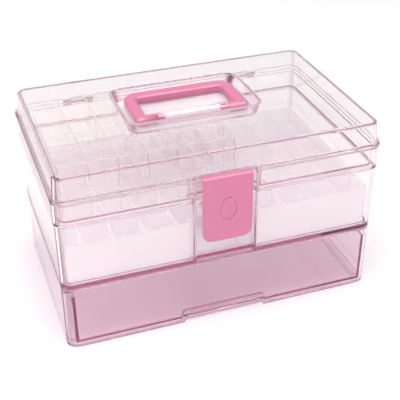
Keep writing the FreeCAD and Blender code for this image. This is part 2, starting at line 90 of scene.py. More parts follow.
def mix_colours(tree, share, first, second):
    """The output of a node that goes from the first colour to the second as share rises."""
    blend = add(tree, "ShaderNodeMix", {"Factor": share}, data_type="RGBA")
    blend.inputs[MIX_A].default_value = first
    blend.inputs[MIX_B].default_value = second
    return blend.outputs[MIX_RESULT]


def mould_surface(tree, orange_peel_mm, strength, base_rough, rough_spread):
    """Bump and roughness of a moulded face: a slow waviness from the mould, and faint flow marks."""
    where = add(tree, "ShaderNodeTexCoord")
    peel = add(tree, "ShaderNodeTexNoise", {"Vector": where.outputs["Object"]},
               Scale=1.0 / (orange_peel_mm * MM), Detail=2.0, Roughness=0.45)
    bump = add(tree, "ShaderNodeBump", {"Height": peel.outputs["Fac"]}, Strength=strength,
               Distance=0.05 * MM)
    flow = add(tree, "ShaderNodeTexNoise", {"Vector": where.outputs["Object"]},
               Scale=1.0 / (orange_peel_mm * 4.0 * MM), Detail=3.0, Roughness=0.5)
    rough = add(tree, "ShaderNodeMapRange", {"Value": flow.outputs["Fac"]},
                To_Min=base_rough - rough_spread, To_Max=base_rough + rough_spread)
    return bump.outputs["Normal"], rough.outputs["Result"]


def let_light_through(tree, surface, shadow):
    """Light on its way to or from a soft surface goes straight through, tinted, so that what stands
    inside the clear walls is lit evenly. The eye, gloss and refraction meet the surface itself."""
    veil = add(tree, "ShaderNodeBsdfTransparent", Color=srgb(shadow))
    path = add(tree, "ShaderNodeLightPath")
    either = add(tree, "ShaderNodeMath",
                 {0: path.outputs["Is Shadow Ray"], 1: path.outputs["Is Diffuse Ray"]},
                 operation="MAXIMUM")
    return add(tree, "ShaderNodeMixShader",
               {0: either.outputs[0], 1: surface.outputs[0], 2: veil.outputs[0]})


def clear_plastic(name, face, edge, tint, tint_mm, shadow, ior, base_rough):
    """Clear moulded plastic: polished faces, colour from the depth of plastic that the light crosses, so
    thin walls are pale and long paths deep. face is the colour at a broad side; edge is a painted dark
    shade that the "edge" mask puts on rounded edges, where light running along the wall draws dark
    lines;
    tint is the colour after tint_mm of plastic. A face whose "frost" mark is above zero is matt and
    white:
    on the lid's well floor it comes from an etched mould, on the divider tops it is a painted highlight."""
    material, tree = new_material(name)
    normal, polish = mould_surface(tree, CLEAR_WAVE_MM, 0.25, base_rough, base_rough * 0.4)
    matt_white_share = add(tree, "ShaderNodeAttribute", attribute_name="frost_and_highlight")
    rough = add(tree, "ShaderNodeMath", {0: matt_white_share.outputs["Fac"], 1: polish}, operation="MAXIMUM")
    clear = add(tree, "ShaderNodeMath", {1: matt_white_share.outputs["Fac"]}, operation="SUBTRACT")
    clear.inputs[0].default_value = 1.0
    # Painted shade: the edge mask mixes a dark pink into rounded edges, in place of the dark lines that
    # light makes there.
    turned = add(tree, "ShaderNodeAttribute", attribute_name="edge")
    colour = mix_colours(tree, turned.outputs["Fac"], srgb(face), srgb(edge))
    glass = add(tree, "ShaderNodeBsdfPrincipled",
                {"Normal": normal, "Roughness": rough.outputs[0], "Base Color": colour,
                 "Transmission Weight": clear.outputs[0]}, IOR=ior)
    shader = let_light_through(tree, glass, shadow)
    depth = [-math.log(max(c, 1e-4)) / (tint_mm * MM) for c in srgb(tint)[:3]]
    density = max(depth)
    absorb = add(tree, "ShaderNodeVolumeAbsorption", Color=(*[1.0 - d / density for d in depth], 1.0),
                 Density=density)
    add(tree, "ShaderNodeOutputMaterial", {"Surface": shader.outputs[0], "Volume": absorb.outputs[0]})
    return material


# The second colour of each is its painted edge shade: a dark tint put on rounded edges in place of the
# dark lines light makes there.
clear_shell = clear_plastic("clear_pink_polystyrene_moulded", "#FFFEFE", "#A95A80", "#F4E2EA", 30.0,
                            "#FBFAFA", 1.57, 0.02)
clear_tray = clear_plastic("clear_pale_polystyrene_tray", "#FFFEFE", "#DDB6C6", "#F6ECF0", 30.0,
                           "#FCFCFC", 1.55, 0.05)
drawer_plastic = clear_plastic("dusty_pink_polystyrene_drawer", "#FDF8FA", "#9E4A72", "#F4E0EA", 30.0,
                               "#F9F5F7", 1.57, 0.03)
clear_divider = clear_plastic("clear_thin_polystyrene_divider", "#FFFEFE", "#C79AAD", "#F6ECF0", 30.0,
                              "#FCFCFC", 1.08, 0.04)


def milky_plastic(name):
    """Natural polypropylene, moulded thin: milky, lets light through but blurs what is behind it."""
    material, tree = new_material(name)
    normal, rough = mould_surface(tree, MILKY_WAVE_MM, 0.12, 0.16, 0.04)
    shell = add(tree, "ShaderNodeBsdfPrincipled", {"Normal": normal, "Roughness": rough},
                Base_Color=srgb("#FEFCFD"), IOR=1.49, Transmission_Weight=0.62)
    glow = add(tree, "ShaderNodeBsdfTranslucent", Color=srgb("#FCF9FB"))
    mixed = add(tree, "ShaderNodeMixShader", {1: shell.outputs[0], 2: glow.outputs[0]}, Fac=0.25)
    veil = add(tree, "ShaderNodeBsdfTransparent", Color=srgb("#E2DFE1"))
    path = add(tree, "ShaderNodeLightPath")
    shader = add(tree, "ShaderNodeMixShader",
                 {0: path.outputs["Is Shadow Ray"], 1: mixed.outputs[0], 2: veil.outputs[0]})
    add(tree, "ShaderNodeOutputMaterial", {"Surface": shader.outputs[0]})
    return material


milky_tray = milky_plastic("milky_polypropylene_tray")


def solid_plastic(name, colour, rough_base):
    """Opaque ABS, moulded in a satin-polished tool: a soft gloss over a fine even grain."""
    material, tree = new_material(name)
    normal, rough = mould_surface(tree, SATIN_GRAIN_MM, 0.30, rough_base, 0.05)
    where = add(tree, "ShaderNodeTexCoord")
    cloud = add(tree, "ShaderNodeTexNoise", {"Vector": where.outputs["Object"]},
                Scale=1.0 / (TONE_CLOUD_MM * MM), Detail=2.0)
    low = tuple(c * 0.96 for c in srgb(colour)[:3]) + (1.0,)
    tone = mix_colours(tree, cloud.outputs["Fac"], low, srgb(colour))
    shell = add(tree, "ShaderNodeBsdfPrincipled",
                {"Normal": normal, "Roughness": rough, "Base Color": tone},
                IOR=1.53, Subsurface_Weight=0.08, Subsurface_Scale=0.004)
    add(tree, "ShaderNodeOutputMaterial", {"Surface": shell.outputs[0]})
    return material


latch_pink = solid_plastic("pink_abs_moulded", "#D97CA1", 0.34)


def steel_rod(name):
    """Drawn steel wire: bright, with fine lines along it from the die."""
    material, tree = new_material(name)
    where = add(tree, "ShaderNodeTexCoord")
    stretch = add(tree, "ShaderNodeMapping", {"Vector": where.outputs["Object"]}, Scale=(0.04, 1.0, 1.0))
    lines = add(tree, "ShaderNodeTexNoise", {"Vector": stretch.outputs[0]},
                Scale=1.0 / (WIRE_LINE_MM * MM), Detail=2.0)
    rough = add(tree, "ShaderNodeMapRange", {"Value": lines.outputs["Fac"]}, To_Min=0.22, To_Max=0.38)
    bump = add(tree, "ShaderNodeBump", {"Height": lines.outputs["Fac"]}, Strength=0.3,
               Distance=0.01 * MM)
    shell = add(tree, "ShaderNodeBsdfPrincipled",
                {"Roughness": rough.outputs[0], "Normal": bump.outputs[0]},
                Base_Color=srgb("#C9C9CC"), Metallic=1.0)
    add(tree, "ShaderNodeOutputMaterial", {"Surface": shell.outputs[0]})
    return material


steel_pin = steel_rod("drawn_steel_rod")

MATERIALS = {"clear_shell": clear_shell, "clear_tray": clear_tray, "milky_tray": milky_tray,
             "drawer_pink": drawer_plastic, "latch_pink": latch_pink, "steel_pin": steel_pin}

# ---- how pieces are made ------------------------------------------------------------------------
SLOT_OF = {s["node"]: s["material_slot"] for s in frame["record"]["subparts"]}
BODY_OF = {n: b for b, ns in frame["record"]["behaviour"]["bodies"].items() for n in ns}
CORNER_STEPS = 8         # faces round a quarter turn in plan
FILLET_STEPS = 3         # faces round a moulded edge
# The next two shape the painted edge shade, a dark tint painted on rounded edges in place of shade.
UPRIGHT_EDGE_SHADE = 0.35      # share of the edge tint that a wide upright corner shows
EDGE_SHADE_NARROWS = 2.5       # how fast the edge tint fades towards a broad face
MOULDED_EDGE = 0.55      # in millimetres, on the drawer and its housing
PIN_EDGE = 0.2
ARCH = 2.0               # rise of a spool divider's top over its cell
GRID_COLUMNS = 6         # spool cells in the upper tray
GRID_ROWS = 5
LOWER_ROWS = 6           # cells from front to back in a lower tray


def rounded(points, steps):
    """A path of (x, y, radius) points with each corner rounded to its radius, as plain (x, y) points."""
    path = []
    count = len(points)
    for i, (x, y, radius) in enumerate(points):
        here = Vector((x, y))
        before = Vector(points[i - 1][:2]) - here
        after = Vector(points[(i + 1) % count][:2]) - here
        if radius <= 0.0:
            path.append((x, y))
            continue
        before.normalize()
        after.normalize()
        half = before.angle(after) / 2.0
        centre = here + (before + after).normalized() * (radius / math.sin(half))
        start = here + before * (radius / math.tan(half)) - centre
        sweep = start.angle_signed(here + after * (radius / math.tan(half)) - centre)
        for k in range(steps + 1):
            turned = start.copy()
            turned.rotate(Matrix.Rotation(-sweep * k / steps, 2))
            path.append(tuple(centre + turned))
    return path


def rectangle(half_x, half_y, radius, centre_y=0.0):
    """Corners of a rounded rectangle, anticlockwise from the front left, as (x, y, radius)."""
    return [(sx * half_x, centre_y + sy * half_y, radius)
            for sx, sy in ((-1, -1), (1, -1), (1, 1), (-1, 1))]


def notched(half_x, half_y, radius, notch_x, notch_y, small):
    """A rounded rectangle whose front is stepped back to notch_y between -notch_x and notch_x."""
    left, first, second, third = rectangle(half_x, half_y, radius)
    return [left, (-notch_x, -half_y, small), (-notch_x, notch_y, small), (notch_x, notch_y, small),
            (notch_x, -half_y, small), first, second, third]


def inset(corners, depth):
    """The same outline, moved in by depth all round. Its sides run along X and Y."""
    out = []
    count = len(corners)
    for i, (x, y, radius) in enumerate(corners):
        before = Vector((x, y)) - Vector(corners[i - 1][:2])
        after = Vector(corners[(i + 1) % count][:2]) - Vector((x, y))
        before.normalize()
        after.normalize()
        inwards = Vector((-before.y, before.x)) + Vector((-after.y, after.x))
        turn = before.x * after.y - before.y * after.x
        grown = radius - depth if turn > 0.0 else radius + depth
        out.append((x + inwards.x * depth, y + inwards.y * depth, max(grown, 0.25)))
    return out


def ring(corners, depth, height):
    """Points in millimetres round an outline moved in by depth, at a height."""
    return [(x, y, height) for x, y in rounded(inset(corners, depth), CORNER_STEPS)]


def wall_rings(sections):
    """Rings along a wall's section. Each entry is (corners, depth, height, fillet radius)."""
    rings = []
    for i, (corners, depth, height, radius) in enumerate(sections):
        here = Vector((depth, height))
        if radius <= 0.0 or i in (0, len(sections) - 1):
            rings.append(ring(corners, depth, height))
            continue
        before = Vector(local(sections[i - 1], corners)) - here
        after = Vector(local(sections[i + 1], corners)) - here
        radius = min(radius, before.length * 0.48, after.length * 0.48)
        before.normalize()
        after.normalize()
        for k in range(FILLET_STEPS + 1):
            t = k / FILLET_STEPS
            spot = here + before * radius * (1 - t) ** 2 + after * radius * t ** 2
            rings.append(ring(corners, spot.x, spot.y))
    return rings


def local(section, corners):
    """A neighbouring section's (depth, height), with its depth measured from these corners."""
    other, depth, height, _ = section
    return depth + (corners[-1][1] - other[-1][1]), height


def loft(name, rings, material):
    """A closed skin through rings of equal length, with the first and the last ring capped."""
    bm = bmesh.new()
    rows = [[bm.verts.new(Vector(p) * MM) for p in points] for points in rings]
    for low, high in zip(rows, rows[1:]):
        for i in range(len(low)):
            j = (i + 1) % len(low)
            bm.faces.new((low[i], low[j], high[j], high[i]))
    bm.faces.new(list(reversed(rows[0])))
    bm.faces.new(rows[-1])
    bmesh.ops.remove_doubles(bm, verts=bm.verts, dist=0.001 * MM)
    bmesh.ops.recalc_face_normals(bm, faces=bm.faces)
    mesh = bpy.data.meshes.new(name)
    bm.to_mesh(mesh)
    bm.free()
    return linked(name, mesh, material)


def linked(name, mesh, material):
    """A piece in the scene, made of one material."""
    mesh.materials.clear()
    mesh.materials.append(material)
    piece = bpy.data.objects.new(name, mesh)
    scene.collection.objects.link(piece)
    return piece


def tool_from(bm):
    """A piece without a material, to be added to another or cut from it."""
    mesh = bpy.data.meshes.new("tool")
    bm.to_mesh(mesh)
    bm.free()
    tool = bpy.data.objects.new("tool", mesh)
    scene.collection.objects.link(tool)
    return tool


def block(x0, x1, y0, y1, z0, z1):
    """A plain block in millimetres."""
    bm = bmesh.new()
    bmesh.ops.create_cube(bm, size=1.0)
    for vert in bm.verts:
        vert.co = Vector((x0 if vert.co.x < 0 else x1, y0 if vert.co.y < 0 else y1,
                          z0 if vert.co.z < 0 else z1)) * MM
    return tool_from(bm)


def rod(radius, x0, x1, y, z, steps=32):
    """A cylinder along X, in millimetres."""
    bm = bmesh.new()
    centre = Matrix.Translation(Vector(((x0 + x1) / 2.0, y, z)) * MM)
    bmesh.ops.create_cone(bm, cap_ends=True, segments=steps, radius1=radius * MM, radius2=radius * MM,
                          depth=(x1 - x0) * MM, matrix=centre @ Matrix.Rotation(math.pi / 2.0, 4, "Y"))
    return tool_from(bm)


def combine(piece, tools, operation):
    """Applies the tools to the piece, one exact boolean each, and deletes them."""
    for tool in tools:
        step = piece.modifiers.new("step", "BOOLEAN")
        step.operation = operation
        step.solver = "EXACT"
        step.object = tool
        flatten(piece)
        bpy.data.objects.remove(tool)


def flatten(piece):
    """Turns the piece's modifiers into plain mesh."""
    bpy.context.view_layer.update()
    graph = bpy.context.evaluated_depsgraph_get()
    mesh = bpy.data.meshes.new_from_object(piece.evaluated_get(graph))
    piece.modifiers.clear()
    piece.data = mesh


def smooth(piece, angle=30.0):
    """Shades the moulded roundings smoothly, keeps the broad faces beside them flat, and writes into
    "edge"
    the painted edge shade: how far each face turns away from them, less on wide upright corners."""
    for face in piece.data.polygons:
        face.use_smooth = True
    piece.data.set_sharp_from_angle(angle=math.radians(angle))
    level = piece.modifiers.new("level", "WEIGHTED_NORMAL")
    level.keep_sharp = True
    flatten(piece)
    # Painted shade: the more a face turns from the broad faces, the more dark edge tint it gets.
    edge = piece.data.attributes.new("edge", "FLOAT", "FACE")
    for face, spot in zip(piece.data.polygons, edge.data):
        turn = math.acos(min(1.0, max(abs(c) for c in face.normal))) / math.radians(45.0)
        share = UPRIGHT_EDGE_SHADE if abs(face.normal.z) < 0.2 else 1.0
        spot.value = share * min(1.0, turn) ** EDGE_SHADE_NARROWS


def mark(piece, name, value, chosen):
    """Sets a face attribute to the value on every face for which chosen, given the face, is true."""
    mesh = piece.data
    marks = mesh.attributes.get(name) or mesh.attributes.new(name, "FLOAT", "FACE")
    for face, spot in zip(mesh.polygons, marks.data):
        if chosen(face):
            spot.value = value


def stands_for(piece, *node_names):
    """Puts the piece in place of CAD nodes, on their body."""
    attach(piece, BODY_OF[node_names[0]])
    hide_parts(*node_names)


def from_cad(node, name, edge_mm, clear=False):
    """A copy of a CAD node with its flat faces made whole and its sharp edges rounded, as a mould leaves
    them. A clear piece gets one face along each edge, so that the edge shows as one clean line."""
    mesh = nodes[node].data.copy()
    mesh.name = name
    bm = bmesh.new()
    bm.from_mesh(mesh)
    bmesh.ops.remove_doubles(bm, verts=bm.verts, dist=0.002 * MM)
    bmesh.ops.dissolve_limit(bm, angle_limit=math.radians(0.3), verts=bm.verts, edges=bm.edges)
    bm.to_mesh(mesh)
    bm.free()
    piece = linked(name, mesh, MATERIALS[SLOT_OF[node]])
    for face in mesh.polygons:
        face.material_index = 0
    if edge_mm:
        bevel = piece.modifiers.new("edges", "BEVEL")
        bevel.width = edge_mm * MM
        bevel.segments = 1 if clear else 2
        bevel.limit_method = "ANGLE"
        bevel.angle_limit = math.radians(35.0)
        flatten(piece)
    smooth(piece)
    return piece


# ---- sizes in millimetres, from the frame ---------------------------------------------------------


def size_of(node):
    """A CAD node's lowest and highest corner, in millimetres."""
    low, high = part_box(node)
    return [c / MM for c in low], [c / MM for c in high]


tub_low, tub_high = size_of("tub")
lid_low, lid_high = size_of("lid")
tray_low, tray_high = size_of("upper_tray")
grid_low, grid_high = size_of("upper_tray_dividers")
latch_high = size_of("latch")[1]
pin_low, pin_high = size_of("hinge_pin_right")
handle_low, handle_high = size_of("handle")
latch_pin_low, latch_pin_high = size_of("latch_pin")

WALL = 2.5
TRAY_WALL = 1.6
DIVIDER = 1.2
COLLAR_STEP = 1.2
COLLAR_HEIGHT = 24.0
LEDGE = 3.0
FLANGE_HEIGHT = 4.5
LID_INSET = 2.6
LID_DRAFT = 2.2
SEAM = 0.3
TUB_CORNER = 11.0        # corner radii in plan
COLLAR_CORNER = 12.2
LEDGE_CORNER = 5.5
LID_CORNER = 10.6
LID_TOP_CORNER = 9.6
FLANGE_CORNER = 13.2
UPPER_TRAY_CORNER = 8.5
LOWER_TRAY_CORNER = 4.0
RECESS_CORNER = 0.8
RECESS_ROOM = 5.0        # each side of the latch
RECESS_DEEP = 6.0
TRAY_GAP = 2.4           # between a tray's notch and the recess
TRAY_FLOOR = 1.8
NARROW_COLUMN = 16.5     # a lower tray's first column of cells
GRID_SUNK = 0.2          # how far the dividers stand in a tray's floor
CUT_PAST = 5.0           # how far a cutting block goes past what it cuts
WELL_DEEP = 13.0         # handle well in the lid
WELL_HALF_X = 69.0
WELL_FRONT_Y = -20.0
WELL_BACK_Y = 62.0
WELL_LEAN = 3.0
WELL_FLOOR = 2.0
WELL_CORNER = 12.0
WELL_LOW_CORNER = 10.0
PIVOT_Y = -4.0           # barrel that the handle turns in
BARREL_R = 6.0
BARREL_HALF_X = 37.3
CATCH_IN = 6.0           # the lid's catch, in from the recess's sides
CATCH_THICK = 1.2
# The PULL sizes bound the finger pull's faces that get the painted dark edge shade.
PULL_HALF_X = 52.0       # room round the finger pull's skin in the drawer front
PULL_LOW = 9.0
PULL_HIGH = 16.0
PULL_DEEP = 8.0
KNUCKLE_R = 2.6          # hinge knuckles, on the tub and the lid
LID_KNUCKLE = 16.0
KNUCKLE_GAP = 0.4
HINGE_BORE_R = 1.26
LATCH_BORE_R = 1.56

floor_z = tub_low[2]
rim_z = pin_low[2] + (pin_high[2] - pin_low[2]) / 2.0
top_z = lid_high[2]
collar_x = tub_high[0]
hinge_y = (pin_low[1] + pin_high[1]) / 2.0
flange_x = lid_high[0]
flange_y = -lid_low[1]
collar_y = flange_y - (flange_x - collar_x)
wall_x = collar_x - COLLAR_STEP
wall_y = collar_y - COLLAR_STEP
collar_z = rim_z - COLLAR_HEIGHT
ledge_z = collar_z + WALL
recess_x = latch_high[0] + RECESS_ROOM
recess_y = -wall_y + RECESS_DEEP
tray_notch_x = recess_x + WALL + TRAY_GAP
tray_notch_y = recess_y + WALL + TRAY_GAP
well_z = top_z - WELL_DEEP


# ---- tub ------------------------------------------------------------------------------------------
def make_tub():
    """The tub: its stepped wall, the ledge that carries the trays, the latch's bore and the knuckles."""
    wall = notched(wall_x, wall_y, TUB_CORNER, recess_x, recess_y, RECESS_CORNER)
    collar = notched(collar_x, collar_y, COLLAR_CORNER, recess_x, recess_y, RECESS_CORNER)
    ledge = notched(wall_x - WALL - LEDGE, wall_y - WALL - LEDGE, LEDGE_CORNER, recess_x + WALL,
                    recess_y + WALL, RECESS_CORNER + WALL)
    # outline, how far in from it, height, and rounding there
    sections = [
        (wall, 3.0, floor_z, 0.0),
        (wall, 0.0, floor_z, 1.2),
        (wall, 0.0, collar_z, 0.6),
        (collar, 0.0, collar_z, 0.9),
        (collar, 0.0, rim_z, 0.7),
        (collar, WALL, rim_z, 0.7),
        (collar, WALL, ledge_z, 0.8),
        (ledge, 0.0, ledge_z, 0.5),
        (ledge, 0.0, collar_z, 0.5),
        (wall, WALL, collar_z, 0.6),
        (wall, WALL, floor_z + WALL, 2.4),
        (wall, WALL + 5.0, floor_z + WALL, 0.0)]
    tub = loft("tub_shell", wall_rings(sections), clear_shell)
    bore_y = (latch_pin_low[1] + latch_pin_high[1]) / 2.0
    bore_z = (latch_pin_low[2] + latch_pin_high[2]) / 2.0
    bore = rod(LATCH_BORE_R, latch_pin_low[0] - 0.1, latch_pin_high[0] + 0.1, bore_y, bore_z)
    combine(tub, [bore], "DIFFERENCE")
    for inner, outers in hinge_spans():
        for span in outers:
            gusset = block(*span, collar_y - 0.5, hinge_y, rim_z - 2.0 * KNUCKLE_R, rim_z)
            combine(gusset, [rod(KNUCKLE_R * 1.6, span[0] - 1.0, span[1] + 1.0, hinge_y + 1.2,
                                 rim_z - 2.6 * KNUCKLE_R)], "DIFFERENCE")
            combine(tub, [gusset, rod(KNUCKLE_R, *span, hinge_y, rim_z)], "UNION")
        room = rod(KNUCKLE_R + KNUCKLE_GAP, inner[0] - KNUCKLE_GAP, inner[1] + KNUCKLE_GAP,
                   hinge_y, rim_z)
        bore = rod(HINGE_BORE_R, outers[0][0] - 1.0, outers[1][1] + 1.0, hinge_y, rim_z, steps=20)
        combine(tub, [room, bore], "DIFFERENCE")
    smooth(tub, 40.0)
    stands_for(tub, "tub")


# ---- hinge knuckles, shared by the tub and the lid --------------------------------------------------
def hinge_spans():
    """For each hinge, the lid knuckle's span and the two tub knuckles' spans along X."""
    spans = []
    for node in ("hinge_pin_left", "hinge_pin_right"):
        low, high = size_of(node)
        middle = (low[0] + high[0]) / 2.0
        inner = (middle - LID_KNUCKLE / 2.0, middle + LID_KNUCKLE / 2.0)
        spans.append((inner, [(low[0], inner[0] - KNUCKLE_GAP), (inner[1] + KNUCKLE_GAP, high[0])]))
    return spans


# ---- lid ------------------------------------------------------------------------------------------
def make_lid():
    """The lid: flange, leaned wall, sunk well with its barrel, the latch's catch and the knuckles."""
    foot = rim_z + SEAM
    low_x = flange_x - LID_INSET
    low_y = flange_y - LID_INSET
    outer = rectangle(low_x, low_y, LID_CORNER)
    leaned = rectangle(low_x - LID_DRAFT, low_y - LID_DRAFT, LID_TOP_CORNER)
    flange = rectangle(flange_x, flange_y, FLANGE_CORNER)
    well_y = (WELL_FRONT_Y + WELL_BACK_Y) / 2.0
    half_y = (WELL_BACK_Y - WELL_FRONT_Y) / 2.0
    well = rectangle(WELL_HALF_X, half_y, WELL_CORNER, well_y)
    well_low = rectangle(WELL_HALF_X - WELL_LEAN, half_y - WELL_LEAN, WELL_LOW_CORNER, well_y)
    # outline, how far in from it, height, and rounding there
    sections = [
        (well_low, 3.0, well_z - WELL_FLOOR, 0.0),
        (well_low, -WALL, well_z - WELL_FLOOR, 2.0),
        (well, -WALL, top_z - WALL, 0.9),
        (leaned, WALL, top_z - WALL, 2.0),
        (outer, WALL, foot, 0.6),
        (outer, 0.8, foot, 0.0),
        (flange, 0.0, foot, 0.9),
        (flange, 0.0, foot + FLANGE_HEIGHT, 0.9),
        (outer, 0.0, foot + FLANGE_HEIGHT, 0.6),
        (leaned, 0.0, top_z, 3.2),
        (well, 0.0, top_z, 1.3),
        (well_low, 0.0, well_z, 2.4),
        (well_low, 6.0, well_z, 0.0)]
    lid = loft("lid_shell", wall_rings(sections), clear_shell)
    latch_room = block(-recess_x, recess_x, -flange_y - 1.0, -low_y - 0.01, foot - 1.0, foot + 6.0)
    combine(lid, [latch_room], "DIFFERENCE")
    catch = block(-recess_x + CATCH_IN, recess_x - CATCH_IN, -flange_y, -low_y + 1.0, foot,
                  foot + CATCH_THICK)
    barrel_z = (handle_low[2] + handle_high[2]) / 2.0
    barrel = rod(BARREL_R, -BARREL_HALF_X, BARREL_HALF_X, PIVOT_Y, barrel_z, steps=40)
    plinth = block(-BARREL_HALF_X, BARREL_HALF_X, PIVOT_Y - BARREL_R, PIVOT_Y + BARREL_R,
                   well_z - 0.5, barrel_z)
    combine(lid, [catch, barrel, plinth], "UNION")
    for inner, outers in hinge_spans():
        arm = block(*inner, low_y - 1.0, hinge_y, foot, rim_z + KNUCKLE_R)
        knuckle = rod(KNUCKLE_R, *inner, hinge_y, rim_z)
        combine(lid, [arm, knuckle], "UNION")
        for x0, x1 in outers:
            gap = block(x0 - KNUCKLE_GAP, x1 + KNUCKLE_GAP, low_y, hinge_y + 3.0, foot - 1.0,
                        foot + FLANGE_HEIGHT + 1.0)
            combine(lid, [gap], "DIFFERENCE")
    smooth(lid, 40.0)
    mark(lid, "frost_and_highlight", 0.42, lambda face: abs(face.normal.z) > 0.9
         and well_z - 3.0 < face.center.z / MM < well_z + 0.2)
    # Painted shade: the barrel and its plinth get a share of the dark edge tint, which greys them.
    mark(lid, "edge", 0.30, lambda face: abs(face.center.x) <= BARREL_HALF_X * MM
         and abs(face.center.y / MM - PIVOT_Y) <= BARREL_R + 0.1
         and (well_z + 0.5) * MM < face.center.z < (top_z - 1.0) * MM)
    stands_for(lid, "lid")


# ---- divider grids ----------------------------------------------------------------------------------
ARCH_STEPS = 8           # faces along the arch over one cell


def divider_tree():
    """Geometry nodes for crossed divider walls: equal cells, each wall along X arched over each cell."""
    tree = bpy.data.node_groups.new("divider_grid", "GeometryNodeTree")
    face = tree.interface
    face.new_socket("Geometry", in_out="OUTPUT", socket_type="NodeSocketGeometry")
    for name in ("Columns", "Rows", "Outer Rows"):
        face.new_socket(name, in_out="INPUT", socket_type="NodeSocketInt")
    for name in ("Cell Width", "Cell Depth", "First Column", "Thickness", "Height", "Arch"):
        face.new_socket(name, in_out="INPUT", socket_type="NodeSocketFloat")
    face.new_socket("Plastic", in_out="INPUT", socket_type="NodeSocketMaterial")
    given = add(tree, "NodeGroupInput").outputs

    def feed(node, values):
        """Gives each of the node's first inputs its number or link."""
        for socket, value in zip(node.inputs, values):
            if isinstance(value, (int, float)):
                socket.default_value = value
            else:
                tree.links.new(value, socket)
        return node.outputs[0]

    def sum_of(operation, *values):
        return feed(add(tree, "ShaderNodeMath", operation=operation), values)

    def vector(x=0.0, y=0.0, z=0.0):
        return feed(add(tree, "ShaderNodeCombineXYZ"), (x, y, z))

    equal = sum_of("MULTIPLY", given["Columns"], given["Cell Width"])
    span = sum_of("ADD", equal, given["First Column"])
    depth = sum_of("MULTIPLY", given["Rows"], given["Cell Depth"])
    # one arched wall along X, from a grid whose upper points rise over each cell
    points = sum_of("ADD", sum_of("MULTIPLY", given["Columns"], float(ARCH_STEPS)), 1.0)
    sheet = add(tree, "GeometryNodeMeshGrid",
                {"Size X": equal, "Size Y": given["Height"], "Vertices X": points}, Vertices_Y=2)
    place = add(tree, "ShaderNodeSeparateXYZ", {0: add(tree, "GeometryNodeInputPosition").outputs[0]})
    along = sum_of("ADD", place.outputs["X"], sum_of("MULTIPLY", equal, 0.5))
    share = sum_of("FRACT", sum_of("DIVIDE", sum_of("ADD", along, 1e-6), given["Cell Width"]))
    from_middle = sum_of("ABSOLUTE", sum_of("MULTIPLY_ADD", share, 2.0, -1.0))
    bow = sum_of("SUBTRACT", 1.0, sum_of("POWER", from_middle, 2.0))
    upper = sum_of("GREATER_THAN", place.outputs["Y"], 0.0)
    rise = sum_of("MULTIPLY", sum_of("MULTIPLY", bow, given["Arch"]), upper)
    half_height = sum_of("MULTIPLY", given["Height"], 0.5)
    height = sum_of("ADD", sum_of("ADD", place.outputs["Y"], half_height), rise)
    stood = add(tree, "GeometryNodeSetPosition",
                {"Geometry": sheet.outputs["Mesh"],
                 "Position": vector(sum_of("ADD", along, given["First Column"]), 0.0, height)})
    back = add(tree, "GeometryNodeFlipFaces", {"Mesh": stood.outputs["Geometry"]})
    thick = add(tree, "GeometryNodeExtrudeMesh",
                {"Mesh": stood.outputs["Geometry"], "Offset Scale": given["Thickness"]},
                Individual=False)
    both = add(tree, "GeometryNodeJoinGeometry")
    tree.links.new(back.outputs["Mesh"], both.inputs[0])
    tree.links.new(thick.outputs["Mesh"], both.inputs[0])
    wall = add(tree, "GeometryNodeMergeByDistance", {"Geometry": both.outputs[0]}, Distance=1e-6)
    # a wall between each two rows, and with Outer Rows at 1 also one before the first and after the last
    count = sum_of("MULTIPLY_ADD", given["Outer Rows"], 2.0, sum_of("SUBTRACT", given["Rows"], 1.0))
    start = sum_of("MULTIPLY", given["Cell Depth"], sum_of("SUBTRACT", 1.0, given["Outer Rows"]))
    rows = add(tree, "GeometryNodeMeshLine", {"Count": count, "Start Location": vector(0.0, start, 0.0),
                                             "Offset": vector(0.0, given["Cell Depth"], 0.0)})
    row_walls = add(tree, "GeometryNodeInstanceOnPoints",
                    {"Points": rows.outputs["Mesh"], "Instance": wall.outputs["Geometry"]})
    # straight walls along Y, as tall as the feet of the arches
    slab_depth = sum_of("ADD", depth, given["Thickness"])
    slab = add(tree, "GeometryNodeMeshCube",
               {"Size": vector(given["Thickness"], slab_depth, given["Height"])})
    slab_up = add(tree, "GeometryNodeTransform",
                  {"Geometry": slab.outputs["Mesh"],
                   "Translation": vector(0.0, sum_of("MULTIPLY", depth, 0.5), half_height)})
    lines = add(tree, "GeometryNodeMeshLine", {"Count": sum_of("ADD", given["Columns"], 1.0),
                                              "Start Location": vector(given["First Column"], 0.0, 0.0),
                                              "Offset": vector(given["Cell Width"], 0.0, 0.0)})
    column_walls = add(tree, "GeometryNodeInstanceOnPoints",
                       {"Points": lines.outputs["Mesh"], "Instance": slab_up.outputs["Geometry"]})
    # the narrow first column's cross walls, which are flat on top
    stub = add(tree, "GeometryNodeMeshCube",
               {"Size": vector(given["First Column"], given["Thickness"], given["Height"])})
    stub_up = add(tree, "GeometryNodeTransform",
                  {"Geometry": stub.outputs["Mesh"],
                   "Translation": vector(sum_of("MULTIPLY", given["First Column"], 0.5),
                                         sum_of("MULTIPLY", given["Thickness"], -0.5),
                                         half_height)})
    stubs = add(tree, "GeometryNodeInstanceOnPoints",
                {"Points": rows.outputs["Mesh"], "Instance": stub_up.outputs["Geometry"],
                 "Selection": sum_of("GREATER_THAN", given["First Column"], 0.001)})
    walls = add(tree, "GeometryNodeJoinGeometry")
    for made in (stubs, column_walls, row_walls):
        tree.links.new(made.outputs[0], walls.inputs[0])
    real = add(tree, "GeometryNodeRealizeInstances", {"Geometry": walls.outputs[0]})
    union = add(tree, "GeometryNodeMeshBoolean", operation="UNION", solver="EXACT")
    tree.links.new(real.outputs[0], union.inputs["Mesh 2"])
    union.inputs["Self Intersection"].default_value = True
    finish = add(tree, "GeometryNodeSetMaterial",
                 {"Geometry": union.outputs[0], "Material": given["Plastic"]})
    add(tree, "NodeGroupOutput", {"Geometry": finish.outputs[0]})
    return tree


DIVIDERS = divider_tree()


